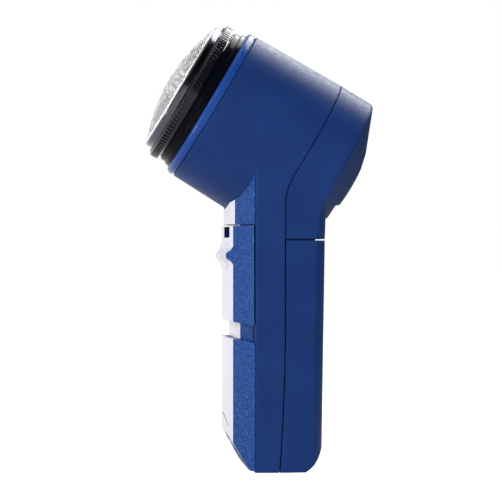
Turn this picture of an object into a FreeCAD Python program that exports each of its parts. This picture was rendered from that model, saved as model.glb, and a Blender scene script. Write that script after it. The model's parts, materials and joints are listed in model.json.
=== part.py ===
import FreeCAD, Part
import math
import os

# Single-head battery shaver, modelled standing on its base.
# Frame: the shaving head faces -Y, +Z is up, X is the width; the origin is on the table
# under the middle of the outline.  All lengths are in millimetres.

V = FreeCAD.Vector

# ---- driving dimensions: head ---------------------------------------------------------
HEAD_TILT = 59.2          # turn about X that takes +Z to the head axis, degrees
HEAD_Y = -11.65           # middle of the barrel mouth
HEAD_Z = 93.98
MOUTH_R = 21.0            # barrel radius at the mouth
BARREL_R = 21.65          # barrel radius where the rear housing starts
SEAM_U = -25.55           # seam between front shell and rear housing, along the head axis
CAP_EDGE_U = -35.6        # edge where the bevelled rear cap starts
CAP_FLAT_R = 6.6          # flat middle of the rear cap
CAP_SHOULDER_R = 10.4
CAP_SHOULDER_U = -40.25
CAP_U = -41.25            # rearmost plane of the head
NECK_CUT_R = 12.5         # hollow of the neck below the rear cap
NECK_CUT_Y = 29.95
NECK_CUT_Z = 61.6
NECK_CUT_TOP = 68.1       # flat underside of the rear cap
MOUTH_BEVEL = 0.4
WALL = 1.7                # shell wall

# ---- driving dimensions: handle -------------------------------------------------------
HANDLE_TOP = 80.0
SIDE_X = 19.2             # half width at the seam
SEAM_Y = 4.85             # vertical seam, front shell against door and rear housing
SEAM_BEND_R = 15.0
SEAM_CORNER_Z = 71.8
SEAM_LEAN = 1.45          # the seam leans forward by this much at the base
SEAM_LEAN_TOP = 40.0      # and is straight from this height up
FRONT_EDGE = (18.78, -2.15)  # bevelled edge where the front panels start
FRONT_FACE = (18.35, -2.6)
BEVEL_X = 18.6
BACK_X = 12.2
BACK_LOW = (12.3, 14.95, 15.6)     # Y of bevel line, back edge and back middle at Z = 0
BACK_HIGH = (13.25, 16.25, 16.9)   # the same at HANDLE_TOP
NECK_LOW = 60.0           # the handle widens from here up into the barrel
NECK_STEPS = 5
NECK_BLEND_LOW = -17.5    # height across the barrel, from its axis, where the sides start to widen
NECK_BLEND_HIGH = -5.5    # and where they have run into the barrel
NECK_BLEND_X = 20.95      # half width there
NECK_BLEND_SLOPE = 0.2
NECK_FRONT_SHARE = 0.25   # how much of the widening the front edge takes part in
NECK_BEND_R = 20.5        # bend of the bevel line into the edge of the rear cap
NECK_BEND_H = 12.0
FRONT_CHAMFER = ((-12.0, 14.5), (-12.0, -5.0), (-0.64, -5.0))
REAR_CHAMFER = ((17.3, 10.9), (13.93, 3.9))        # straight part, from the top down
REAR_HEEL = ((12.3, 1.68), (10.2, 0.0))            # rounded part, down to the base
DOOR_TOP = 58.8
DOOR_GAP = 0.3
REAR_BOTTOM = 59.2
GROOVE_W = 0.32
GROOVE_D = 0.7
LIP_T = 0.8               # tongue of the rear housing behind the top edge of the door
LIP_GAP = 0.15
LIP_LOW = 57.4
NOTCH_Y = 13.0            # the joint line opens into a nail notch behind here
NOTCH_RISE = 0.5

# ---- driving dimensions: front panels -------------------------------------------------
PANEL_Y = -2.9            # rear edge of the sloping sides
PANEL_FOOT_Y = -2.62      # the fixed panels stand on the shell
PANEL_SIDE = (18.45, -2.95)
PANEL_KNEE = (11.0, -7.62)     # blue side meets the silver band
BAND_EDGE = (8.5, -8.75)
BAND_MID_Y = -9.45
TOP_D = 0.5               # top section lies this much lower
BASE_D = 1.9              # face of the recessed base plate
BASE_T = 1.2
SLIDER_D = 1.6            # underside of the slider
BAND_T = 0.9              # thickness of the silver band
SLIDER_TOP = 62.55
SLIDER_LOW = 38.4
TOP_PANEL_LOW = 62.95
LOWER_PANEL_TOP = 34.0
ARCH_R = 135.0            # arch of the division lines
RIDGE_Z = 54.9
RIDGE_HALF = 3.1
SWITCH_TRAVEL = 4.0
STEM = (3.0, 44.6, 52.0)  # half width, bottom and top of the slider's stem
LENS = (3.9, 9.3, 59.55, 62.3)

# ---- driving dimensions: cells --------------------------------------------------------
CELL_R = 7.25
CELL_X = 7.4
CELL_Y = 6.0
CELL_LOW = 7.6
CELL_CAN = 49.2
NUB_H = 1.3

# ---- driving dimensions: cutter -------------------------------------------------------
RIM_R = 20.9
COLLAR_IN = 17.0
RIB_COUNT = 108
RIB_ROOT = 19.15
RIB_R = 19.5
FOIL_R = 17.65
FOIL_EDGE_U = 10.14
FOIL_APEX_U = 13.7
FOIL_T = 0.25
FOIL_LAND_R = 17.3        # inside of the thin rim that frames the foil
BLADE_COUNT = 16
BLADE_GAP = 0.35
CUTTER_FLOAT = 0.8        # the cutter can sink this far towards the coupling
CARRIER_TOP = 8.1         # roof of the square hole in the carrier

HEAD = FreeCAD.Placement(V(0, HEAD_Y, HEAD_Z), FreeCAD.Rotation(V(1, 0, 0), HEAD_TILT))
BIG = 90.0


# ---- helpers --------------------------------------------------------------------------
def prism(points, axis, start, stop):
    """Solid from a closed outline given in the two axes left over, drawn from start to stop."""
    if axis == "z":
        corners = [V(a, b, start) for a, b in points]
        reach = V(0, 0, stop - start)
    elif axis == "x":
        corners = [V(start, a, b) for a, b in points]
        reach = V(stop - start, 0, 0)
    else:
        corners = [V(a, start, b) for a, b in points]
        reach = V(0, stop - start, 0)
    wire = Part.makePolygon(corners + [corners[0]])
    return Part.Face(wire).extrude(reach)


def box(x0, x1, y0, y1, z0, z1):
    return Part.makeBox(x1 - x0, y1 - y0, z1 - z0, V(x0, y0, z0))


def turned(points, tilt=True):
    """Solid of revolution about the head axis from (radius, distance along the axis)."""
    corners = [V(r, 0, u) for r, u in points]
    face = Part.Face(Part.makePolygon(corners + [corners[0]]))
    solid = face.revolve(V(0, 0, 0), V(0, 0, 1), 360)
    if tilt:
        solid.Placement = HEAD
    return solid


def tilted(shape):
    """Carry a shape from the head's own frame to its place on the shaver."""
    shape.Placement = HEAD.multiply(shape.Placement)
    return shape


def rod(radius, length, start, direction):
    return Part.makeCylinder(radius, length, start, direction)


def mirrored(shape):
    return shape.mirror(V(0, 0, 0), V(1, 0, 0))


def tube_along(points, radius):
    """Round wire that follows a smooth curve through the points."""
    curve = Part.BSplineCurve()
    curve.interpolate([V(*p) for p in points])
    spine = Part.Wire(curve.toShape())
    start = V(*points[0])
    ring = Part.Wire(Part.makeCircle(radius, start, curve.tangent(curve.FirstParameter)[0]))
    return spine.makePipeShell([ring], True, True)


def export(name, shape):
    if shape.ShapeType == "Compound" and len(shape.Solids) == 1:
        shape = shape.Solids[0]
    shape.exportStep("parts/" + name + ".step")


# ---- outer skin of the two shells and the door ----------------------------------------
def blended(x, y, z):
    """Half width at one place of the neck, where the side x runs smoothly into the barrel."""
    tilt = math.radians(HEAD_TILT)
    across = (y - HEAD_Y) * math.cos(tilt) + (z - HEAD_Z) * math.sin(tilt)
    reach = NECK_BLEND_HIGH - NECK_BLEND_LOW
    share = min(1.0, max(0.0, (across - NECK_BLEND_LOW) / reach))
    ease = share ** 2 * (3 - 2 * share)
    return x + (NECK_BLEND_X - x) * ease + NECK_BLEND_SLOPE * reach * (share ** 3 - share ** 2)


def handle_section(z, inset):
    """Outline of the handle at one height; inset moves it inwards.

    The inside of the wall has plainer corners and doesn't widen at the neck.
    """
    inside = inset > WALL / 2
    share = z / HANDLE_TOP
    bevel_y, back_y, middle_y = [low + (high - low) * share for low, high in zip(BACK_LOW, BACK_HIGH)]
    rise = 0.0 if inside else max(0.0, z - NECK_LOW)
    bend = min(rise, NECK_BEND_H)
    bevel_y += NECK_BEND_R - math.sqrt(NECK_BEND_R ** 2 - bend ** 2)
    if inside:
        bevel_x, side_x = BEVEL_X, SIDE_X
        front = [(FRONT_EDGE[0], FRONT_FACE[1])]
    else:
        bevel_x = blended(BEVEL_X, bevel_y, z)
        side_x = blended(SIDE_X, SEAM_Y, z)
        front_x, front_y = FRONT_EDGE
        front_x += NECK_FRONT_SHARE * (blended(front_x, front_y, z) - front_x)
        front = [(front_x, front_y), FRONT_FACE]
    half = [(side_x, SEAM_Y)] + front + [
        (12.6, -2.6),
        (9.6, -4.6),
        (7.6, -5.4),
    ]
    right = [V(x, y, z) for x, y in half]
    left = [V(-x, y, z) for x, y in reversed(half)]
    corners = [V(bevel_x, bevel_y, z)] + right + left + [V(-bevel_x, bevel_y, z)]
    edges = Part.makePolygon(corners).Edges
    turn_x = 0.5 * (bevel_x + BACK_X) + 0.45
    turn_y = 0.5 * (bevel_y + back_y) + 0.55
    back = [
        Part.Arc(corners[-1], V(-turn_x, turn_y, z), V(-BACK_X, back_y, z)),
        Part.Arc(V(-BACK_X, back_y, z), V(0, middle_y, z), V(BACK_X, back_y, z)),
        Part.Arc(V(BACK_X, back_y, z), V(turn_x, turn_y, z), corners[0]),
    ]
    wire = Part.Wire(edges + [arc.toShape() for arc in back])
    if inset:
        wire = wire.makeOffset2D(-inset, 2)
    return wire


def rear_chamfer(shift):
    """Everything cut away below the back of the handle, moved forward by shift."""
    top, knee = [V(-BIG, y - shift, z) for y, z in REAR_CHAMFER]
    middle, heel = [V(-BIG, y - shift, z) for y, z in REAR_HEEL]
    corners = [
        heel,
        V(-BIG, heel.y, -BIG),
        V(-BIG, BIG, -BIG),
        V(-BIG, BIG, top.z),
        top,
        knee,
    ]
    edges = Part.makePolygon(corners).Edges
    edges.append(Part.Arc(knee, middle, heel).toShape())
    return Part.Face(Part.Wire(edges)).extrude(V(2 * BIG, 0, 0))


def skin(inset):
    """Outside of the shaver body, moved inwards by inset."""
    straight = Part.makeLoft([handle_section(z, inset) for z in (0.0, NECK_LOW)], True, True)
    step = (HANDLE_TOP - NECK_LOW) / NECK_STEPS
    rings = [handle_section(NECK_LOW + step * k, inset) for k in range(NECK_STEPS + 1)]
    neck = Part.makeLoft(rings, True, False)
    handle = straight.cut(box(-BIG, BIG, -BIG, BIG, -BIG, inset))
    slope = inset * 1.15
    front = [(y + slope, z) for y, z in FRONT_CHAMFER]
    handle = handle.cut(rear_chamfer(slope))
    handle = handle.cut(prism(front, "x", -BIG, BIG))
    mouth = [(MOUTH_R - inset, 0)]
    if inset < WALL / 2:
        mouth = [(MOUTH_R - inset, -MOUTH_BEVEL), (MOUTH_R - MOUTH_BEVEL - inset, 0)]
    barrel = turned([
        (0, CAP_U + inset),
        (CAP_FLAT_R, CAP_U + inset),
        (CAP_SHOULDER_R - 0.3 * inset, CAP_SHOULDER_U + inset),
        (BARREL_R - 0.95 - inset, CAP_EDGE_U - 0.2 + inset),
        (BARREL_R - 0.4 - inset, CAP_EDGE_U + 0.05 + inset),
        (BARREL_R - 0.1 - inset, CAP_EDGE_U + 0.5 + inset),
        (BARREL_R - inset, CAP_EDGE_U + 1.0 + inset),
        (BARREL_R - inset, SEAM_U),
    ] + mouth + [(0, 0)])
    body = barrel.multiFuse([handle, neck])
    hollow = rod(NECK_CUT_R + inset, 2 * BIG, V(-BIG, NECK_CUT_Y, NECK_CUT_Z), V(1, 0, 0))
    hollow = hollow.common(box(-BIG, BIG, 0, BIG, 0, NECK_CUT_TOP + inset))
    return body.cut(hollow).removeSplitter()


def rear_region(shift):
    """Everything behind the long S-shaped seam, moved back by shift."""
    tilt = math.radians(HEAD_TILT)
    along = (math.cos(tilt), math.sin(tilt))
    bend = math.radians(90 - HEAD_TILT) / 2
    reach = SEAM_BEND_R * math.tan(bend)
    y0 = SEAM_Y + shift
    lean_r = (SEAM_LEAN ** 2 + SEAM_LEAN_TOP ** 2) / (2 * SEAM_LEAN)
    half_lean = lean_r - math.sqrt(lean_r ** 2 - (SEAM_LEAN_TOP / 2) ** 2)
    low = V(-BIG, y0 - SEAM_LEAN, -BIG)
    foot = V(-BIG, y0 - SEAM_LEAN, 0.0)
    lean_middle = V(-BIG, y0 - half_lean, SEAM_LEAN_TOP / 2)
    lean_end = V(-BIG, y0, SEAM_LEAN_TOP)
    first = V(-BIG, y0, SEAM_CORNER_Z - reach)
    middle = V(
        -BIG,
        y0 + SEAM_BEND_R * (1 - math.cos(bend)),
        SEAM_CORNER_Z - reach + SEAM_BEND_R * math.sin(bend),
    )
    last = V(-BIG, y0 + reach * along[0], SEAM_CORNER_Z + reach * along[1])
    far = V(-BIG, last.y + BIG * along[0], last.z + BIG * along[1])
    edges = [
        Part.makeLine(low, foot),
        Part.Arc(foot, lean_middle, lean_end).toShape(),
        Part.makeLine(lean_end, first),
        Part.Arc(first, middle, last).toShape(),
        Part.makeLine(last, far),
        Part.makeLine(far, V(-BIG, 2 * BIG, far.z)),
        Part.makeLine(V(-BIG, 2 * BIG, far.z), V(-BIG, 2 * BIG, -BIG)),
        Part.makeLine(V(-BIG, 2 * BIG, -BIG), low),
    ]
    return Part.Face(Part.Wire(edges)).extrude(V(2 * BIG, 0, 0))


outer = skin(0.0)
inner = skin(WALL)
groove_floor = skin(GROOVE_D)
shell = outer.cut(inner)
behind = rear_region(0.0)
seam_groove = behind.cut(rear_region(GROOVE_W)).cut(groove_floor)

# ---- front panels: blue sides with a raised silver band -------------------------------
run = math.hypot(PANEL_SIDE[0] - PANEL_KNEE[0], PANEL_SIDE[1] - PANEL_KNEE[1])
ALONG = ((PANEL_KNEE[0] - PANEL_SIDE[0]) / run, (PANEL_KNEE[1] - PANEL_SIDE[1]) / run)
NORMAL = (ALONG[1], -ALONG[0])


def side_point(depth, rear_y):
    """Where the sloping side at one depth reaches the line y = rear_y."""
    x0 = PANEL_SIDE[0] + NORMAL[0] * depth
    y0 = PANEL_SIDE[1] + NORMAL[1] * depth
    step = (rear_y - y0) / ALONG[1]
    return (x0 + ALONG[0] * step, rear_y)


def panel_layer(near, far, low, high, band_only=False, foot_y=None, side_depth=None):
    """Curved plate between two depths below the panel face.

    foot_y carries the rear edge on down to the shell, and side_depth keeps the rear edge of
    the near face at a depth of its own.
    """
    edges = []
    ends = []
    for depth in (near, far):
        knee = (PANEL_KNEE[0] - 0.35 * depth, PANEL_KNEE[1] + depth)
        edge = (BAND_EDGE[0] - 0.2 * depth, BAND_EDGE[1] + depth)
        first = [knee, edge]
        if not band_only:
            flush = depth == near and side_depth is not None
            side = side_point(side_depth if flush else depth, PANEL_Y)
            first.insert(0, side)
            if foot_y is not None:
                first.insert(0, (side[0], foot_y))
        right = [V(x, y, low) for x, y in first]
        left = [V(-x, y, low) for x, y in reversed(first)]
        middle = V(0, BAND_MID_Y + depth, low)
        edges += Part.makePolygon(right).Edges
        edges.append(Part.Arc(right[-1], middle, left[0]).toShape())
        edges += Part.makePolygon(left).Edges
        ends.append((right[0], left[-1]))
    edges.append(Part.makeLine(ends[0][0], ends[1][0]))
    edges.append(Part.makeLine(ends[0][1], ends[1][1]))
    wire = Part.Wire(Part.__sortEdges__(edges))
    return Part.Face(wire).extrude(V(0, 0, high - low))


def arch(top):
    """Round bar across the handle whose crown gives the arched division lines."""
    return rod(ARCH_R, BIG, V(0, -BIG / 2, top - ARCH_R), V(0, 1, 0))


barrel_clear = turned([
    (0, -40), (BARREL_R + 0.3, -40), (BARREL_R + 0.3, SEAM_U), (MOUTH_R + 0.3, 0), (0, 0),
])
front_chamfer = prism(FRONT_CHAMFER, "x", -BIG, BIG)
stem_slot = box(
    -STEM[0] - 0.35, STEM[0] + 0.35, -20, -3.0, STEM[1] - SWITCH_TRAVEL - 0.5, STEM[2] + 0.4
)

base_band = panel_layer(BASE_D, BASE_D + 0.5, 2.0, 80.0, True)
base_plate = panel_layer(BASE_D, BASE_D + BASE_T, 0.4, 80.0, False, PANEL_FOOT_Y)
base_plate = base_plate.cut(base_band).cut(barrel_clear).cut(front_chamfer).cut(stem_slot)
base_band = base_band.cut(barrel_clear).cut(front_chamfer).cut(stem_slot)

top_band = panel_layer(TOP_D, TOP_D + BAND_T, TOP_PANEL_LOW, 80.0, True).cut(barrel_clear)
top_panel = panel_layer(TOP_D, BASE_D, TOP_PANEL_LOW, 80.0, False, PANEL_FOOT_Y, 0.0)
top_panel = top_panel.cut(barrel_clear)
top_panel = top_panel.cut(top_band)

lower_band = panel_layer(0.0, BAND_T, 0.4, 40.0, True).common(arch(LOWER_PANEL_TOP))
lower_band = lower_band.cut(front_chamfer)
lower_panel = panel_layer(0.0, BASE_D, 0.4, 40.0, False, PANEL_FOOT_Y).common(arch(LOWER_PANEL_TOP))
lower_panel = lower_panel.cut(front_chamfer).cut(lower_band)
groove_ring = rod(16.0, 20, V(0, -20, -1.8), V(0, 1, 0)).cut(rod(15.5, 20, V(0, -20, -1.8), V(0, 1, 0)))
groove_ring = groove_ring.common(box(-12, 12, -20, BAND_MID_Y + 0.9, 5, 20))
lower_band = lower_band.cut(groove_ring)


def ridge(crest_y, foot_y, half_x, crown):
    """Thumb ridge across the slider, bell-shaped seen from the side."""
    flank = 0.35 * RIDGE_HALF
    crest = V(-half_x, crest_y, RIDGE_Z)
    feet = []
    edges = []
    for way in (1, -1):
        foot = V(-half_x, foot_y, RIDGE_Z + way * RIDGE_HALF)
        curve = Part.BezierCurve()
        curve.setPoles([
            foot,
            V(-half_x, foot_y, RIDGE_Z + way * flank),
            V(-half_x, crest_y, RIDGE_Z + way * crown),
            crest,
        ])
        edges.append(curve.toShape())
        inner = V(-half_x, foot_y + 0.6, foot.z)
        edges.append(Part.makeLine(foot, inner))
        feet.append(inner)
    edges.append(Part.makeLine(feet[0], feet[1]))
    wire = Part.Wire(Part.__sortEdges__(edges))
    return Part.Face(wire).extrude(V(2 * half_x, 0, 0))


# The two sloping sides of the panels, carried on until they meet, as a tent-shaped solid.
tent_top = PANEL_SIDE[1] + PANEL_SIDE[0] * ALONG[1] / -ALONG[0]
tent = prism([PANEL_SIDE, (-PANEL_SIDE[0], PANEL_SIDE[1]), (0.0, tent_top)], "z", 30.0, 80.0)
side_ridge = ridge(-9.75, PANEL_KNEE[1] + 0.1, 14.0, 0.5).common(tent)
side_ridge = side_ridge.cut(box(-7.8, 7.8, -20, 0, RIDGE_Z - RIDGE_HALF, RIDGE_Z + RIDGE_HALF))
slider_cap = panel_layer(0.0, BAND_T, 30.0, SLIDER_TOP, True)
slider_cap = slider_cap.fuse(ridge(BAND_MID_Y - 1.25, BAND_MID_Y + 0.2, 8.5, 0.8)).cut(arch(SLIDER_LOW))
slider_cap = slider_cap.cut(panel_layer(BAND_T, 6.0, 30.0, SLIDER_TOP)).cut(side_ridge)
slider = panel_layer(0.0, SLIDER_D, 30.0, SLIDER_TOP).fuse(side_ridge).cut(arch(SLIDER_LOW))
slider = slider.cut(slider_cap).cut(panel_layer(SLIDER_D, 6.0, 30.0, SLIDER_TOP))
stem = box(-STEM[0], STEM[0], BAND_MID_Y + 1.3, -3.2, STEM[1], STEM[2])
slider = slider.fuse(stem).removeSplitter()
lens = prism([(LENS[0], -12), (LENS[1], -12), (LENS[1], -8.3), (LENS[0], -8.3)], "z", LENS[2], LENS[3])
lens_right = lens.common(slider_cap)
lens_left = mirrored(lens_right)
slider_cap = slider_cap.cut(lens).cut(mirrored(lens))
switch_bridge = box(-2.6, 2.6, -3.2, -2.9, 46.0, 51.0)

# ---- battery bay ----------------------------------------------------------------------
bay_low = 3.2
bay_top = 60.0
wall_half = [
    (9.8, -2.3), (11.5, -0.75), (16.1, -0.75), (16.1, 9.0),
    (14.9, 9.0), (14.9, 0.3), (11.3, -0.15), (9.4, -1.35),
]
wall_outline = wall_half + [(-x, y) for x, y in reversed(wall_half)]
frame_wall = prism(wall_outline, "z", bay_low, bay_top)
floor_half = [(9.4, -1.35), (11.3, -0.15), (14.9, 0.3), (14.9, 9.0)]
floor_outline = floor_half + [(-x, y) for x, y in reversed(floor_half)]
frame_floor = prism(floor_outline, "z", bay_low, bay_low + 1.0)
frame_roof = prism(floor_outline, "z", bay_top - 1.0, bay_top)
lug = box(9.6, 14.4, 3.2, 4.4, bay_top - 0.2, 65.2)
battery_frame = frame_wall.multiFuse([frame_floor, frame_roof, lug, mirrored(lug)])
SCREW_X = 12.0
SCREW_Z = 62.9
for sign in (1, -1):
    battery_frame = battery_frame.cut(rod(1.15, 4, V(sign * SCREW_X, 2, SCREW_Z), V(0, 1, 0)))
battery_frame = battery_frame.removeSplitter()


def case_screw(sign):
    head = rod(1.9, 1.2, V(sign * SCREW_X, 4.4, SCREW_Z), V(0, 1, 0))
    slot = box(sign * SCREW_X - 1.6, sign * SCREW_X + 1.6, 5.2, 6.0, SCREW_Z - 0.25, SCREW_Z + 0.25)
    shank = rod(1.1, 5.2, V(sign * SCREW_X, -0.8, SCREW_Z), V(0, 1, 0))
    return head.cut(slot).fuse(shank)


def cell(sign):
    """One AA cell; the two cells point opposite ways."""
    if sign > 0:
        can_low = CELL_LOW
        nub_low = CELL_LOW + CELL_CAN
    else:
        can_low = CELL_LOW + NUB_H
        nub_low = CELL_LOW
    can = rod(CELL_R, CELL_CAN, V(sign * CELL_X, CELL_Y, can_low), V(0, 0, 1))
    nub = rod(2.7, NUB_H, V(sign * CELL_X, CELL_Y, nub_low), V(0, 0, 1))
    return can, nub


def coil(mean_r, wire_r, turns, length, base):
    """Round-wire compression spring standing on base, built of tilted half rings."""
    count = int(2 * turns)
    rise = (length - 2 * wire_r) / count
    lean = math.degrees(math.atan2(rise, 2 * mean_r))
    half_r = math.hypot(mean_r, rise / 2)
    halves = []
    for k in range(count):
        ring = Part.makeTorus(half_r, wire_r, V(0, 0, 0), V(0, 0, 1), -180, 180, 180)
        if k % 2:
            ring.rotate(V(0, 0, 0), V(0, 0, 1), 180)
        ring.rotate(V(0, 0, 0), V(0, 1, 0), lean if k % 2 == 0 else -lean)
        ring.translate(V(0, 0, rise * (k + 0.5)))
        halves.append(ring)
    spring = halves[0].multiFuse(halves[1:])
    spring.translate(base + V(0, 0, wire_r))
    return spring


cell_right, nub_right = cell(1)
cell_left, nub_left = cell(-1)
bridge_plate = box(-13.5, 13.5, 2.0, 8.8, bay_low + 1.0, bay_low + 1.4)
low_spring = coil(3.4, 0.35, 3.0, CELL_LOW - bay_low - 1.4, V(CELL_X, CELL_Y, bay_low + 1.4))
low_stud = rod(2.2, CELL_LOW - bay_low - 1.4, V(-CELL_X, CELL_Y, bay_low + 1.4), V(0, 0, 1))
low_stud = low_stud.common(box(-20, 20, -1, 8.8, 0, 20))
plate_top = bay_top - 1.0
top_plate_right = box(2.6, 12.2, 2.0, 10.5, plate_top - 0.4, plate_top)
top_plate_left = mirrored(top_plate_right)
cell_top = CELL_LOW + NUB_H + CELL_CAN
top_gap = plate_top - 0.4 - cell_top
top_stud = rod(2.2, top_gap, V(CELL_X, CELL_Y, cell_top), V(0, 0, 1))
top_coil = Part.makeTorus(3.4, top_gap / 2, V(-CELL_X, CELL_Y, cell_top + top_gap / 2), V(0, 0, 1))
top_plate_right = top_plate_right.fuse(top_stud)
strip = box(0.8, 2.4, -2.6, -2.3, 38.0, 56.0)

# ---- shells and door ------------------------------------------------------------------
front_shell = shell.cut(behind)
floor_clear = tilted(box(-BIG, BIG, -BIG, BIG, 0.0, BIG))
front_shell = front_shell.cut(floor_clear).cut(stem_slot)
for sign in (1, -1):
    boss = rod(2.6, 5.0, V(sign * SCREW_X, -1.8, SCREW_Z), V(0, 1, 0))
    boss = boss.cut(rod(1.1, 5.0, V(sign * SCREW_X, -1.0, SCREW_Z), V(0, 1, 0)))
    front_shell = front_shell.fuse(boss)
front_shell = front_shell.cut(seam_groove).removeSplitter()

rear_housing = shell.common(behind).common(box(-BIG, BIG, -BIG, BIG, REAR_BOTTOM, 2 * BIG))
rear_housing = rear_housing.cut(seam_groove)
nail_notch = prism([
    (NOTCH_Y + 0.4, REAR_BOTTOM - 1),
    (NOTCH_Y + 6, REAR_BOTTOM - 1),
    (NOTCH_Y + 6, REAR_BOTTOM + NOTCH_RISE),
], "x", -BIG, BIG)
lip_core = skin(WALL + LIP_T)
lip_root = skin(WALL - 0.1).cut(lip_core)
lip_root = lip_root.common(box(-BIG, BIG, -BIG, NOTCH_Y, REAR_BOTTOM + 0.1, REAR_BOTTOM + 1.6))
lip_end = skin(WALL + LIP_GAP).cut(lip_core)
lip_end = lip_end.common(box(-BIG, BIG, -BIG, NOTCH_Y, LIP_LOW, REAR_BOTTOM + 0.2))
lip = lip_root.fuse(lip_end).common(rear_region(GROOVE_W))
rear_housing = rear_housing.fuse(lip).cut(nail_notch).removeSplitter()

door_zone = rear_region(DOOR_GAP).common(box(-BIG, BIG, -BIG, BIG, -BIG, DOOR_TOP))
battery_door = shell.common(door_zone)
battery_door = battery_door.removeSplitter()

# ---- head: rim, collar, motor ---------------------------------------------------------
rim_ring = turned([
    (19.1, 0.0), (20.3, 0.0), (20.3, 0.32), (RIM_R, 0.32), (RIM_R, 1.15),
    (RIM_R - 0.12, 1.55), (RIM_R - 0.42, 1.92), (RIM_R - 0.85, 2.17), (RIM_R - 1.2, 2.25), (19.1, 2.25),
])
head_collar = turned([
    (COLLAR_IN, -2.0), (19.05, -2.0), (19.05, 2.3), (19.65, 2.3), (19.55, 2.75),
    (19.5, 3.25), (19.4, 3.4), (19.12, 3.5), (19.04, 3.6), (19.02, 4.75),
    (18.9, 4.98), (18.5, 5.05), (18.5, 5.4), (COLLAR_IN, 5.4),
])
motor_plate = turned([(4.0, -6.0), (19.3, -6.0), (19.3, -4.5), (4.0, -4.5)])
motor_can = turned([
    (1.6, -4.4), (3.9, -4.4), (3.9, -6.0), (10.2, -6.0),
    (10.2, -28.0), (9.4, -28.0), (9.4, -6.8), (1.6, -6.8),
])
motor_end_cap = turned([(1.3, -31.0), (9.9, -31.0), (9.9, -28.0), (1.3, -28.0)])
magnet_ring = turned([(7.7, -24.0), (9.35, -24.0), (9.35, -9.0), (7.7, -9.0)], False)
magnet = magnet_ring.common(box(1.6, 12, -6.5, 6.5, -30, 0))
magnet_right = tilted(magnet.copy())
magnet_left = tilted(mirrored(magnet))
rotor = turned([(1.02, -23.0), (7.3, -23.0), (7.3, -10.0), (1.02, -10.0)], False)
for k in range(3):
    gap = box(4.2, 9.0, -0.7, 0.7, -30, 0)
    gap.rotate(V(0, 0, 0), V(0, 0, 1), 120 * k + 60)
    rotor = rotor.cut(gap)
rotor = tilted(rotor)
commutator = turned([(1.02, -27.6), (2.5, -27.6), (2.5, -24.6), (1.02, -24.6)])
motor_shaft = turned([(0, -30.0), (1.0, -30.0), (1.0, 4.0), (0, 4.0)])
felt_seal = turned([(1.3, -4.4), (3.4, -4.4), (3.4, -3.7), (1.3, -3.7)])


def motor_tab(sign):
    return tilted(box(sign * 5 - 1.2, sign * 5 + 1.2, -0.2, 0.2, -34.0, -31.0))


def motor_screw(sign):
    head = Part.makeCylinder(1.8, 1.1, V(0, sign * 7.0, -4.5))
    shank = Part.makeCylinder(0.95, 2.3, V(0, sign * 7.0, -6.8))
    slot = box(-1.5, 1.5, sign * 7.0 - 0.2, sign * 7.0 + 0.2, -3.8, -3.0)
    return tilted(head.cut(slot).fuse(shank))


for sign in (1, -1):
    bore = tilted(Part.makeCylinder(1.0, 4.0, V(0, sign * 7.0, -7.5)))
    motor_plate = motor_plate.cut(bore)
    motor_can = motor_can.cut(bore)


def lead(sign):
    points = [
        (sign * 5.0, 17.9, 76.2),
        (sign * 5.6, 17.4, 73.4),
        (sign * 6.6, 13.6, 68.0),
        (sign * 6.4, 9.2, 63.6),
        (sign * 6.4, 8.0, 60.1),
    ]
    return tube_along(points, 0.5)


# ---- cutter: coupling, carrier, blades, foil frame ------------------------------------
coupling = turned([
    (1.02, -2.6), (4.4, -2.6), (4.4, -1.8), (3.0, -1.8), (3.0, 4.2), (0, 4.2), (0, 4.05), (1.02, 4.05),
], False)
drive_top = CARRIER_TOP - CUTTER_FLOAT - 0.1
coupling = coupling.fuse(box(-2.1, 2.1, -2.1, 2.1, 4.2, drive_top)).removeSplitter()
coupling = tilted(coupling)
cutter_spring = coil(3.75, 0.3, 4.0, 5.9, V(0, 0, -1.8))
cutter_spring = tilted(cutter_spring)
carrier = turned([
    (0, 4.2), (4.6, 4.2), (4.6, CARRIER_TOP), (6.4, CARRIER_TOP), (6.4, 9.0), (0, 9.0),
], False)
carrier = carrier.cut(Part.makeCylinder(3.08, 1.05, V(0, 0, 4.2)))
carrier = carrier.cut(box(-2.16, 2.16, -2.16, 2.16, 4.2, CARRIER_TOP))
carrier = tilted(carrier)

dome_rise = FOIL_APEX_U - FOIL_EDGE_U
DOME_R = (FOIL_R ** 2 + dome_rise ** 2) / (2 * dome_rise)
dome_center = FOIL_APEX_U - DOME_R
blade_zone = Part.makeCylinder(15.6, 8, V(0, 0, 9.0)).cut(Part.makeCylinder(8.0, 8, V(0, 0, 9.0)))
blade_zone = blade_zone.common(Part.makeSphere(DOME_R - FOIL_T - BLADE_GAP, V(0, 0, dome_center)))
plates = []
for k in range(BLADE_COUNT):
    plate = box(7.0, 16.5, -0.3, 0.3, 8.9, 16.0)
    plate.rotate(V(0, 0, 0), V(0, 0, 1), 360.0 * k / BLADE_COUNT)
    plates.append(plate)
blades = blade_zone.common(Part.makeCompound(plates))
disc = turned([(4.0, 9.0), (15.6, 9.0), (15.6, 9.4), (4.0, 9.4)], False)
cutter_blades = tilted(disc.multiFuse(blades.Solids).removeSplitter())

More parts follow.
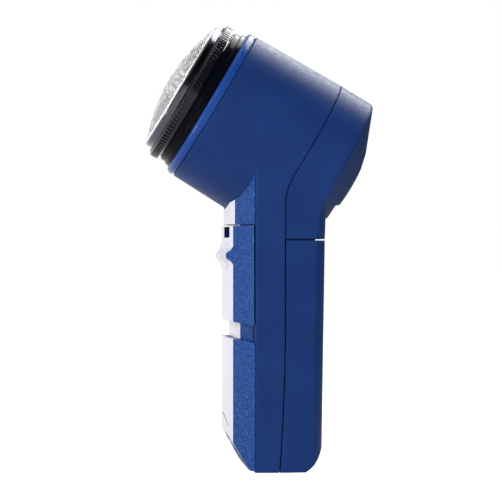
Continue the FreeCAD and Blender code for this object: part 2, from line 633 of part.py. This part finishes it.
foil = Part.makeSphere(DOME_R, V(0, 0, dome_center))
foil = foil.cut(Part.makeSphere(DOME_R - FOIL_T, V(0, 0, dome_center)))
foil = foil.common(Part.makeCylinder(FOIL_LAND_R - 0.02, 8, V(0, 0, 8.0)))
foil = tilted(foil)
foil_inner_u = dome_center + math.sqrt((DOME_R - FOIL_T) ** 2 - 16.85 ** 2)
foil_rim = turned([
    (17.02, 8.3), (17.75, 8.3), (17.75, 9.7), (17.7, 9.95), (17.58, 10.13), (17.4, 10.2),
    (FOIL_LAND_R, 10.2), (FOIL_LAND_R, 9.6), (17.02, 9.6),
])
ribbed_ring = turned([
    (17.8, 5.75), (RIB_R, 5.75), (RIB_R, 7.72), (19.0, 7.95), (18.7, 8.46), (17.8, 8.46),
], False)
notches = []
for k in range(RIB_COUNT):
    notch = box(RIB_ROOT, 20.5, -0.26, 0.26, 6.1, 7.9)
    notch.rotate(V(0, 0, 0), V(0, 0, 1), 360.0 * k / RIB_COUNT)
    notches.append(notch)
ribbed_ring = tilted(ribbed_ring.cut(Part.makeCompound(notches)))
foil_retainer = turned([
    (16.1, 1.5), (16.75, 1.5), (16.75, 5.75), (17.75, 5.75), (17.75, 8.25), (16.95, 8.25),
    (16.95, 9.9), (16.1, 9.9),
])
foil_retainer = foil_retainer.cut(tilted(
    Part.makeSphere(90, V(0, 0, 90 + foil_inner_u - 0.05))
))

# ---- write one file per piece ---------------------------------------------------------
os.makedirs("parts", exist_ok=True)
pieces = {
    "front_shell": front_shell,
    "rear_housing": rear_housing,
    "battery_door": battery_door,
    "rim_ring": rim_ring,
    "head_collar": head_collar,
    "panel_base": base_plate,
    "panel_base_band": base_band,
    "top_panel": top_panel,
    "top_band": top_band,
    "lower_panel": lower_panel,
    "lower_band": lower_band,
    "switch_slider": slider,
    "switch_band": slider_cap,
    "switch_lens_right": lens_right,
    "switch_lens_left": lens_left,
    "switch_bridge": switch_bridge,
    "battery_frame": battery_frame,
    "case_screw_right": case_screw(1),
    "case_screw_left": case_screw(-1),
    "cell_right": cell_right,
    "cell_right_nub": nub_right,
    "cell_left": cell_left,
    "cell_left_nub": nub_left,
    "bridge_plate": bridge_plate,
    "bridge_spring": low_spring,
    "bridge_stud": low_stud,
    "top_contact_right": top_plate_right,
    "top_contact_left": top_plate_left,
    "top_contact_coil": top_coil,
    "switch_strip_right": strip,
    "switch_strip_left": mirrored(strip),
    "motor_plate": motor_plate,
    "motor_can": motor_can,
    "motor_end_cap": motor_end_cap,
    "motor_magnet_right": magnet_right,
    "motor_magnet_left": magnet_left,
    "motor_tab_right": motor_tab(1),
    "motor_tab_left": motor_tab(-1),
    "motor_screw_upper": motor_screw(1),
    "motor_screw_lower": motor_screw(-1),
    "motor_lead_right": lead(1),
    "motor_lead_left": lead(-1),
    "shaft_seal": felt_seal,
    "motor_shaft": motor_shaft,
    "motor_rotor": rotor,
    "motor_commutator": commutator,
    "drive_coupling": coupling,
    "cutter_spring": cutter_spring,
    "cutter_carrier": carrier,
    "cutter_blades": cutter_blades,
    "foil": foil,
    "foil_rim": foil_rim,
    "ribbed_ring": ribbed_ring,
    "foil_retainer": foil_retainer,
}
for name, shape in pieces.items():
    export(name, shape)
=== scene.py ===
import json
import math

import bmesh
import bpy
from mathutils import Matrix, Vector

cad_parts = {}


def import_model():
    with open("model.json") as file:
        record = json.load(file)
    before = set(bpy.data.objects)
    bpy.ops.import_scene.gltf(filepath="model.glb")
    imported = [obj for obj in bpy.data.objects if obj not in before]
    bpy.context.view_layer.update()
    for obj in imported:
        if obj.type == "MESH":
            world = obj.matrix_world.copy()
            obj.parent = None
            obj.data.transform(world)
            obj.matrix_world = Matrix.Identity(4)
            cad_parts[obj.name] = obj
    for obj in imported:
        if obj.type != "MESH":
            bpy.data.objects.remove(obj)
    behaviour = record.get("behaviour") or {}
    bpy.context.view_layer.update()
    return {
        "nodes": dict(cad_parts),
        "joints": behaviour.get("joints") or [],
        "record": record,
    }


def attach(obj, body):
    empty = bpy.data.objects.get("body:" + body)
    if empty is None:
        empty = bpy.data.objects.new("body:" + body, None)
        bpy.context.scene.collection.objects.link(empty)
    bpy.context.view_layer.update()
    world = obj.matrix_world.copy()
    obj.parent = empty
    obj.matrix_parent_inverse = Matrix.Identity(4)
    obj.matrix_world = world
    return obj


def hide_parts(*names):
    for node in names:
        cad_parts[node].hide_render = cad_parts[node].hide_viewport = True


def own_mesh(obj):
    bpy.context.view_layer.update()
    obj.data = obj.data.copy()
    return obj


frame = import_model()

MM = 0.001
NODES = frame["nodes"]

# The head's own frame: its axis is the spindle's, and its zero is the mouth of the barrel.
SPIN = next(j for j in frame["joints"] if j["name"] == "spindle_spin")
AXIS = Vector(SPIN["axis"])
HEAD = (
    Matrix.Translation(Vector(SPIN["pos_m"]))
    @ Vector((0, 0, 1)).rotation_difference(AXIS).to_matrix().to_4x4()
)


# ---- material building blocks ---------------------------------------------------------
# Edges are painted lighter: a painted highlight along rounded edges, partly edge wear.
EDGE_LIGHTEN_START = 0.985          # cosine between the rounded and the true normal where the painted edge highlight, partly edge wear, starts
EDGE_LIGHTEN_FULL = 0.90           # and where it is full
PANEL_EDGE_WEAR_AND_HIGHLIGHT = 2.0           # as much lighter as the panels' edges are painted where the edge highlight is full

# Pattern sizes: each is a noise or cell scale, so about that many features to a metre.
CLOUDS = 90.0
POLISH = 650.0
GRAIN = 4200.0
FLAKES = 4600.0
FLAKE_CLUMPS = 2200.0
SHIMMER = 5200.0
PEARL_POLISH = 700.0
METAL_CLOUDS = 220.0
METAL_MARKS = 900.0
FIBRES = 2600.0
JACKET_POLISH = 300.0
FLAKE_RELIEF = 0.012 * MM
METAL_RELIEF = 0.004 * MM
FIBRE_RELIEF = 0.08 * MM
CELL_BAND = (0.0215, 0.0219)  # heights over which a cell's coloured band gives way to plain wrap


class Paint:
    """One procedural material: a Principled shader and short calls that add its detail."""

    def __init__(self, name, color, rough, metallic=0.0, coat=0.0, specular=0.5):
        self.material = bpy.data.materials.new(name)
        self.material.use_nodes = True
        self.material.diffuse_color = (*color, 1.0)
        self.tree = self.material.node_tree
        self.shader = self.tree.nodes["Principled BSDF"]
        self.shader.inputs["Base Color"].default_value = (*color, 1.0)
        self.shader.inputs["Roughness"].default_value = rough
        self.shader.inputs["Metallic"].default_value = metallic
        self.shader.inputs["Coat Weight"].default_value = coat
        self.shader.inputs["Coat Roughness"].default_value = 0.08
        self.shader.inputs["Specular IOR Level"].default_value = specular
        self.place = self.node("ShaderNodeTexCoord").outputs["Object"]
        self.normal = None

    def node(self, kind, **settings):
        made = self.tree.nodes.new(kind)
        for key, value in settings.items():
            setattr(made, key, value)
        return made

    def link(self, out, into):
        self.tree.links.new(out, into)

    def noise(self, scale, detail=3.0, stretch=None):
        """Noise of about 1 / scale metres, stretched along one axis if asked."""
        made = self.node("ShaderNodeTexNoise")
        made.inputs["Scale"].default_value = scale
        made.inputs["Detail"].default_value = detail
        where = self.place
        if stretch:
            mapping = self.node("ShaderNodeMapping")
            mapping.inputs["Scale"].default_value = stretch
            self.link(where, mapping.inputs["Vector"])
            where = mapping.outputs["Vector"]
        self.link(where, made.inputs["Vector"])
        return made.outputs["Fac"]

    def spread(self, value, low, high, start=0.35, end=0.65):
        """The value between start and end (by default most of a noise), from low to high."""
        made = self.node("ShaderNodeMapRange")
        made.inputs["From Min"].default_value = start
        made.inputs["From Max"].default_value = end
        made.inputs["To Min"].default_value = low
        made.inputs["To Max"].default_value = high
        self.link(value, made.inputs["Value"])
        return made.outputs["Result"]

    def colours(self, value, first, second):
        """Base colour that runs from first to second with the value."""
        made = self.node("ShaderNodeMix", data_type="RGBA")
        made.inputs[6].default_value = (*first, 1.0)
        made.inputs[7].default_value = (*second, 1.0)
        self.link(value, made.inputs[0])
        self.link(made.outputs[2], self.shader.inputs["Base Color"])

    def roughness(self, value, low, high):
        """Roughness that follows the value."""
        self.link(self.spread(value, low, high), self.shader.inputs["Roughness"])

    def soften(self, radius):
        """Edges catch the light as if they were rounded to this radius."""
        made = self.node("ShaderNodeBevel", samples=6)
        made.inputs["Radius"].default_value = radius
        self.normal = made.outputs["Normal"]
        self.link(self.normal, self.shader.inputs["Normal"])

    def add_edge_wear_and_highlight(self, factor):
        """Painted edge highlight, partly edge wear: the base colour is multiplied by up to factor along
        edges.
        """
        geometry = self.node("ShaderNodeNewGeometry")
        turn = self.node("ShaderNodeVectorMath", operation="DOT_PRODUCT")
        self.link(self.normal, turn.inputs[0])
        self.link(geometry.outputs["Normal"], turn.inputs[1])
        edge = self.spread(turn.outputs["Value"], factor, 1.0, EDGE_LIGHTEN_FULL, EDGE_LIGHTEN_START)
        color = self.shader.inputs["Base Color"].links[0].from_socket
        made = self.node("ShaderNodeVectorMath", operation="SCALE")
        self.link(color, made.inputs[0])
        self.link(edge, made.inputs["Scale"])
        self.link(made.outputs["Vector"], self.shader.inputs["Base Color"])

    def bump(self, value, depth, strength=1.0):
        """Fine relief of the given depth in metres."""
        made = self.node("ShaderNodeBump")
        made.inputs["Strength"].default_value = strength
        made.inputs["Distance"].default_value = depth
        self.link(value, made.inputs["Height"])
        if self.normal:
            self.link(self.normal, made.inputs["Normal"])
        self.normal = made.outputs["Normal"]
        self.link(self.normal, self.shader.inputs["Normal"])


def shade(color, factor):
    """The colour made lighter or darker."""
    return tuple(min(1.0, c * factor) for c in color)


def moulded(name, color, rough, grain=0.0, edge=0.25, coat=0.0, specular=0.5, edge_wear_and_highlight=None):
    """Moulded plastic: faint clouding in colour and gloss, and a fine spark-eroded grain; edges painted
    lighter if asked, a painted highlight that is partly edge wear.
    """
    paint = Paint(name, color, rough, coat=coat, specular=specular)
    cloud = paint.noise(CLOUDS)
    paint.colours(paint.spread(cloud, 0.0, 1.0), shade(color, 0.93), shade(color, 1.07))
    paint.roughness(paint.noise(POLISH, 4.0), rough * 0.9, rough * 1.12)
    paint.soften(edge * MM)
    # edges painted lighter: painted highlight, partly edge wear
    if edge_wear_and_highlight:
        paint.add_edge_wear_and_highlight(edge_wear_and_highlight)
    if grain:
        paint.bump(paint.noise(GRAIN, 2.0), grain * MM, 0.5)
    return paint.material


def sparkling(name, base, fleck, rough):
    """Metallic paint under clear lacquer, with small flakes that each face their own way."""
    paint = Paint(name, base, rough, metallic=0.15, coat=0.05, specular=0.1)
    flakes = paint.node("ShaderNodeTexVoronoi")
    flakes.inputs["Scale"].default_value = FLAKES
    paint.link(paint.place, flakes.inputs["Vector"])
    split = paint.node("ShaderNodeSeparateColor")
    paint.link(flakes.outputs["Color"], split.inputs["Color"])
    bright = paint.spread(split.outputs["Red"], 0.0, 1.0, 0.8, 0.95)
    clump = paint.spread(paint.noise(FLAKE_CLUMPS, 2.0), 0.0, 0.10, 0.45, 0.7)
    both = paint.node("ShaderNodeMath", operation="MAXIMUM")
    paint.link(bright, both.inputs[0])
    paint.link(clump, both.inputs[1])
    paint.colours(both.outputs[0], base, fleck)
    paint.roughness(split.outputs["Green"], rough * 0.75, rough * 1.3)
    paint.soften(0.3 * MM)
    # edges painted twice as light: painted highlight along the panel edges, partly edge wear
    paint.add_edge_wear_and_highlight(PANEL_EDGE_WEAR_AND_HIGHLIGHT)
    paint.bump(split.outputs["Blue"], FLAKE_RELIEF, 0.6)
    return paint.material


def pearl(name, color, rough):
    """Smooth silver-white paint with a very fine shimmer under lacquer."""
    paint = Paint(name, color, rough, metallic=0.2, coat=0.35)
    shimmer = paint.noise(SHIMMER, 2.0)
    paint.colours(paint.spread(shimmer, 0.0, 1.0), shade(color, 0.96), shade(color, 1.03))
    paint.roughness(paint.noise(PEARL_POLISH, 3.0), rough * 0.9, rough * 1.15)
    paint.soften(0.25 * MM)
    return paint.material


def metal(name, color, rough, brushed=None, edge=0.1):
    """Bare metal: fine brushing or polishing marks in gloss and surface."""
    paint = Paint(name, color, rough, metallic=1.0)
    marks = paint.noise(METAL_MARKS, 4.0, brushed)
    clouds = paint.spread(paint.noise(METAL_CLOUDS), 0.0, 1.0)
    paint.colours(clouds, shade(color, 0.92), shade(color, 1.05))
    paint.roughness(marks, rough * 0.75, rough * 1.35)
    paint.soften(edge * MM)
    paint.bump(marks, METAL_RELIEF, 0.5)
    return paint.material


def fibrous(name, color):
    """Pressed felt."""
    paint = Paint(name, color, 0.95)
    fibres = paint.noise(FIBRES, 6.0)
    paint.colours(paint.spread(fibres, 0.0, 1.0), shade(color, 0.8), shade(color, 1.1))
    paint.bump(fibres, FIBRE_RELIEF, 0.9)
    return paint.material


def jacket(name, color, band):
    """Printed cell jacket: plain wrap with one coloured band round its lower part."""
    paint = Paint(name, color, 0.25, metallic=0.5, coat=0.5)
    parts = paint.node("ShaderNodeSeparateXYZ")
    paint.link(paint.place, parts.inputs["Vector"])
    step = paint.spread(parts.outputs["Z"], 0.0, 1.0, *CELL_BAND)
    paint.colours(step, band, color)
    paint.roughness(paint.noise(JACKET_POLISH), 0.2, 0.32)
    return paint.material


NAVY = (0.0085, 0.030, 0.130)
BRIGHT_BLUE = (0.009, 0.048, 0.225)
PANEL_BLUE = (0.006, 0.038, 0.180)
PANEL_FLAKE = (0.035, 0.13, 0.42)
BLACK = (0.003, 0.003, 0.007)
MATERIALS = {
    "navy_plastic": moulded("navy_plastic", NAVY, 0.42, grain=0.006, edge=0.35, specular=0.08),
    # edges painted up to twice as light: painted highlight lines, partly edge wear
    "bright_blue": moulded(
        "bright_blue", BRIGHT_BLUE, 0.22, edge=0.3, coat=0.05, specular=0.12, edge_wear_and_highlight=2.0
    ),
    "sparkle_blue": sparkling("sparkle_blue", PANEL_BLUE, PANEL_FLAKE, 0.42),
    "silver_paint": pearl("silver_paint", (0.61, 0.615, 0.685), 0.36),
    "black_gloss": moulded("black_gloss", (0.002, 0.002, 0.005), 0.16, edge=0.2, specular=0.05),
    # edges painted up to six times as light: painted glints, partly edge wear
    "black_matt": moulded(
        "black_matt", BLACK, 0.15, grain=0.003, edge=0.08, specular=0.35, edge_wear_and_highlight=6.0
    ),
    "lens_dark": moulded("lens_dark", (0.005, 0.008, 0.040), 0.55, edge=0.1, specular=0.0),
    "foil_steel": metal("foil_steel", (0.93, 0.93, 0.95), 0.34),
    "rim_steel": metal("rim_steel", (0.10, 0.10, 0.12), 0.16),
    "bright_steel": metal("bright_steel", (0.72, 0.72, 0.74), 0.16),
    "blade_steel": metal("blade_steel", (0.15, 0.15, 0.16), 0.3, (1.0, 1.0, 6.0)),
    "motor_steel": metal("motor_steel", (0.48, 0.48, 0.50), 0.34, (1.0, 5.0, 1.0)),
    "copper": metal("copper", (0.70, 0.32, 0.16), 0.3, (1.0, 8.0, 1.0)),
    "brass": metal("brass", (0.78, 0.56, 0.24), 0.24),
    "white_plastic": moulded("white_plastic", (0.72, 0.72, 0.69), 0.4, grain=0.006),
    "grey_plastic": moulded("grey_plastic", (0.13, 0.135, 0.145), 0.45, grain=0.008),
    "cell_jacket": jacket("cell_jacket", (0.02, 0.022, 0.026), (0.55, 0.30, 0.05)),
    "magnet": moulded("magnet", (0.03, 0.03, 0.033), 0.6, grain=0.02),
    "felt": fibrous("felt", (0.62, 0.58, 0.50)),
    "wire_red": moulded("wire_red", (0.42, 0.012, 0.012), 0.4, grain=0.004),
    "wire_black": moulded("wire_black", (0.010, 0.010, 0.011), 0.4, grain=0.004),
}


def dress(obj, slot):
    """Gives one object its material in every slot that it has."""
    if not obj.material_slots:
        obj.data.materials.append(MATERIALS[slot])
    for held in obj.material_slots:
        held.material = MATERIALS[slot]


for part in frame["record"]["subparts"]:
    dress(NODES[part["node"]], part["material_slot"])


# ---- foil: a dome with a real hole pattern --------------------------------------------
HOLE_PITCH = 0.85 * MM
HOLE_SHARE = 0.43          # hole radius as a share of the pitch
FOIL_BORDER = 0.55 * MM    # plain strip along the rim
FOIL_WALL = 0.06 * MM
HOLE_POINTS = 12
RIM_POINTS = 180
CELL_EDGE_SHARE = 0.25     # more than a hole's edges and less than a cell's, over the pitch


def head_points(node):
    """A node's vertices in the head's own frame."""
    back = HEAD.inverted()
    obj = NODES[node]
    return [back @ (obj.matrix_world @ v.co) for v in obj.data.vertices]


def hexagon(center, pitch):
    """Corners and mid-edges of one cell of the hole pattern."""
    corner = pitch / math.sqrt(3)
    points = []
    for k in range(6):
        turn = math.radians(60 * k)
        a = center + corner * Vector((math.cos(turn), math.sin(turn)))
        b = center + corner * Vector((math.cos(turn + math.pi / 3), math.sin(turn + math.pi / 3)))
        points += [a, (a + b) / 2]
    return points


def foil_cells(radius):
    """Middles of the cells that lie wholly inside the radius."""
    step_x = HOLE_PITCH * math.sqrt(3) / 2
    reach = int(radius / step_x) + 2
    for i in range(-reach, reach + 1):
        for j in range(-reach, reach + 1):
            middle = Vector((step_x * i, HOLE_PITCH * (j + 0.5 * (i % 2))))
            if middle.length < radius - HOLE_PITCH * 0.6:
                yield middle


def build_foil():
    """The perforated foil, laid out flat and then lifted onto the CAD dome."""
    points = head_points("foil")
    edge = max(math.hypot(p.x, p.y) for p in points)
    apex = max(p.z for p in points)
    rim_z = max(p.z for p in points if math.hypot(p.x, p.y) > edge - 0.01 * MM)
    rise = apex - rim_z
    sphere = (edge ** 2 + rise ** 2) / (2 * rise)
    mesh = bmesh.new()
    for middle in foil_cells(edge - FOIL_BORDER):
        outer = [mesh.verts.new((p.x, p.y, 0)) for p in hexagon(middle, HOLE_PITCH)]
        inner = []
        for k in range(HOLE_POINTS):
            turn = 2 * math.pi * k / HOLE_POINTS
            hole = middle + HOLE_SHARE * HOLE_PITCH * Vector((math.cos(turn), math.sin(turn)))
            inner.append(mesh.verts.new((hole.x, hole.y, 0)))
        for k in range(HOLE_POINTS):
            n = (k + 1) % HOLE_POINTS
            mesh.faces.new((outer[k], outer[n], inner[n], inner[k]))
    bmesh.ops.remove_doubles(mesh, verts=mesh.verts, dist=0.01 * MM)
    ragged = [e for e in mesh.edges if e.is_boundary and e.calc_length() > CELL_EDGE_SHARE * HOLE_PITCH]
    ring = [
        mesh.verts.new((edge * math.cos(a), edge * math.sin(a), 0))
        for a in (2 * math.pi * k / RIM_POINTS for k in range(RIM_POINTS))
    ]
    rim = [mesh.edges.new((ring[k], ring[(k + 1) % RIM_POINTS])) for k in range(RIM_POINTS)]
    bmesh.ops.triangle_fill(mesh, edges=ragged + rim, use_beauty=True)
    bmesh.ops.recalc_face_normals(mesh, faces=mesh.faces)
    for v in mesh.verts:
        v.co.z = apex - sphere + math.sqrt(sphere ** 2 - v.co.x ** 2 - v.co.y ** 2)
    if sum(f.normal.z for f in mesh.faces) < 0:
        bmesh.ops.reverse_faces(mesh, faces=mesh.faces)
    mesh.transform(HEAD)
    data = bpy.data.meshes.new("foil_screen")
    mesh.to_mesh(data)
    mesh.free()
    data.shade_smooth()
    screen = bpy.data.objects.new("foil_screen", data)
    bpy.context.scene.collection.objects.link(screen)
    wall = screen.modifiers.new("wall", "SOLIDIFY")
    wall.thickness = FOIL_WALL
    wall.offset = -1.0
    dress(screen, "foil_steel")
    return screen


foil_screen = build_foil()
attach(foil_screen, "foil_frame")
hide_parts("foil")


# ---- pressure spring: a copy of the CAD spring, carried by the spindle ----------------
def build_spring():
    """A copy of the CAD spring, and how far its foot and top lie along the head axis."""
    spring = bpy.data.objects.new("pressure_spring", NODES["cutter_spring"].data.copy())
    bpy.context.scene.collection.objects.link(spring)
    along = [p.z for p in head_points("cutter_spring")]
    return spring, min(along), max(along)


pressure_spring, spring_foot, spring_top = build_spring()
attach(pressure_spring, "spindle")
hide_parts("cutter_spring")
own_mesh(pressure_spring)


# ---- floor, light and camera ----------------------------------------------------------
FLOOR_HALF = 6.0
FLOOR_FRONT = 0.9         # glow of the floor in front of the shaver and behind it
FLOOR_REAR = 0.03
FLOOR_FADE = (-0.1, 0.15)  # from this Y to that one
FLOOR_GREY = 0.15
VIEW_MIDDLE = Vector((0.0, -1.95 * MM, 56.1 * MM))
VIEW_AZIMUTH = 84.6
VIEW_DISTANCE = 0.53
VIEW_LENS = 145.1
VIEW_SENSOR = 36.0
ROOM_NEAR = 0.16           # light from the side where the camera stands
ROOM_REAR = 0.08           # share of the light that comes from behind the shaver
ROOM_BRIGHT = 1.0
ROOM_FADE_X = (-0.45, 0.5)
ROOM_FADE_Y = (-0.3, 0.45)


def floor():
    """Plain floor: white to the camera, and as a light bright in front and dim behind."""
    mesh = bmesh.new()
    bmesh.ops.create_grid(mesh, x_segments=2, y_segments=2, size=FLOOR_HALF)
    data = bpy.data.meshes.new("floor")
    mesh.to_mesh(data)
    mesh.free()
    obj = bpy.data.objects.new("floor", data)
    bpy.context.scene.collection.objects.link(obj)
    paint = Paint("floor", (FLOOR_GREY, FLOOR_GREY, FLOOR_GREY), 0.9, specular=0.1)
    paint.roughness(paint.noise(8.0), 0.85, 0.95)
    paint.shader.inputs["Emission Color"].default_value = (1.0, 1.0, 1.0, 1.0)
    parts = paint.node("ShaderNodeSeparateXYZ")
    paint.link(paint.place, parts.inputs["Vector"])
    glow = paint.spread(parts.outputs["Y"], FLOOR_FRONT, FLOOR_REAR, *FLOOR_FADE)
    sight = paint.node("ShaderNodeLightPath")
    seen = paint.node("ShaderNodeMath", operation="MAXIMUM")
    paint.link(glow, seen.inputs[0])
    paint.link(sight.outputs["Is Camera Ray"], seen.inputs[1])
    paint.link(seen.outputs[0], paint.shader.inputs["Emission Strength"])
    data.materials.append(paint.material)


def softbox(name, place, size, power, target, mirrored=True):
    """Soft lamp aimed at the target; glossy surfaces show it only if mirrored."""
    lamp = bpy.data.lights.new(name, "AREA")
    lamp.shape = "RECTANGLE"
    lamp.size, lamp.size_y = size
    lamp.energy = power
    obj = bpy.data.objects.new(name, lamp)
    obj.location = place
    obj.visible_glossy = mirrored
    obj.rotation_euler = (Vector(target) - Vector(place)).to_track_quat("-Z", "Y").to_euler()
    bpy.context.scene.collection.objects.link(obj)


def fall_off(tree, value, start, end, low, high):
    """The value's place between start and end, as a smooth step from low to high."""
    made = tree.nodes.new("ShaderNodeMapRange")
    made.interpolation_type = "SMOOTHSTEP"
    made.inputs["From Min"].default_value = start
    made.inputs["From Max"].default_value = end
    made.inputs["To Min"].default_value = low
    made.inputs["To Max"].default_value = high
    tree.links.new(value, made.inputs["Value"])
    return made.outputs["Result"]


def world():
    """Room: white to the camera, and as a light bright towards -X and -Y, dim towards +X and +Y."""
    made = bpy.data.worlds.new("studio")
    made.use_nodes = True
    tree = made.node_tree
    back = tree.nodes["Background"]
    where = tree.nodes.new("ShaderNodeTexCoord")
    parts = tree.nodes.new("ShaderNodeSeparateXYZ")
    tree.links.new(where.outputs["Generated"], parts.inputs["Vector"])
    across = fall_off(tree, parts.outputs["X"], *ROOM_FADE_X, ROOM_BRIGHT, ROOM_NEAR)
    along = fall_off(tree, parts.outputs["Y"], *ROOM_FADE_Y, 1.0, ROOM_REAR)
    both = tree.nodes.new("ShaderNodeMath")
    both.operation = "MULTIPLY"
    tree.links.new(across, both.inputs[0])
    tree.links.new(along, both.inputs[1])
    sight = tree.nodes.new("ShaderNodeLightPath")
    seen = tree.nodes.new("ShaderNodeMath")
    seen.operation = "MAXIMUM"
    tree.links.new(both.outputs[0], seen.inputs[0])
    tree.links.new(sight.outputs["Is Camera Ray"], seen.inputs[1])
    tree.links.new(seen.outputs[0], back.inputs["Strength"])
    back.inputs["Color"].default_value = (1.0, 1.0, 1.0, 1.0)
    bpy.context.scene.world = made


def camera():
    """Camera level with the middle of the shaver, almost at its side."""
    data = bpy.data.cameras.new("camera")
    data.sensor_width = VIEW_SENSOR
    data.lens = VIEW_LENS
    data.clip_start = 0.01
    obj = bpy.data.objects.new("camera", data)
    turn = math.radians(VIEW_AZIMUTH)
    away = Vector((math.sin(turn), -math.cos(turn), 0.0))
    obj.location = VIEW_MIDDLE + VIEW_DISTANCE * away
    obj.rotation_euler = (-away).to_track_quat("-Z", "Y").to_euler()
    bpy.context.scene.collection.objects.link(obj)
    bpy.context.scene.camera = obj


floor()
world()
softbox("key", (0.03, -0.62, 0.3), (0.06, 0.6), 2.4, (0, 0, 0.06))
softbox("fill", (0.8, 0.1, 0.3), (0.7, 0.7), 7.6, (0, 0, 0.06), mirrored=False)
softbox("top", (-0.5, 0.33, 0.68), (0.6, 0.6), 9.0, (0, 0, 0.09))
camera()
bpy.context.scene.view_settings.view_transform = "Standard"
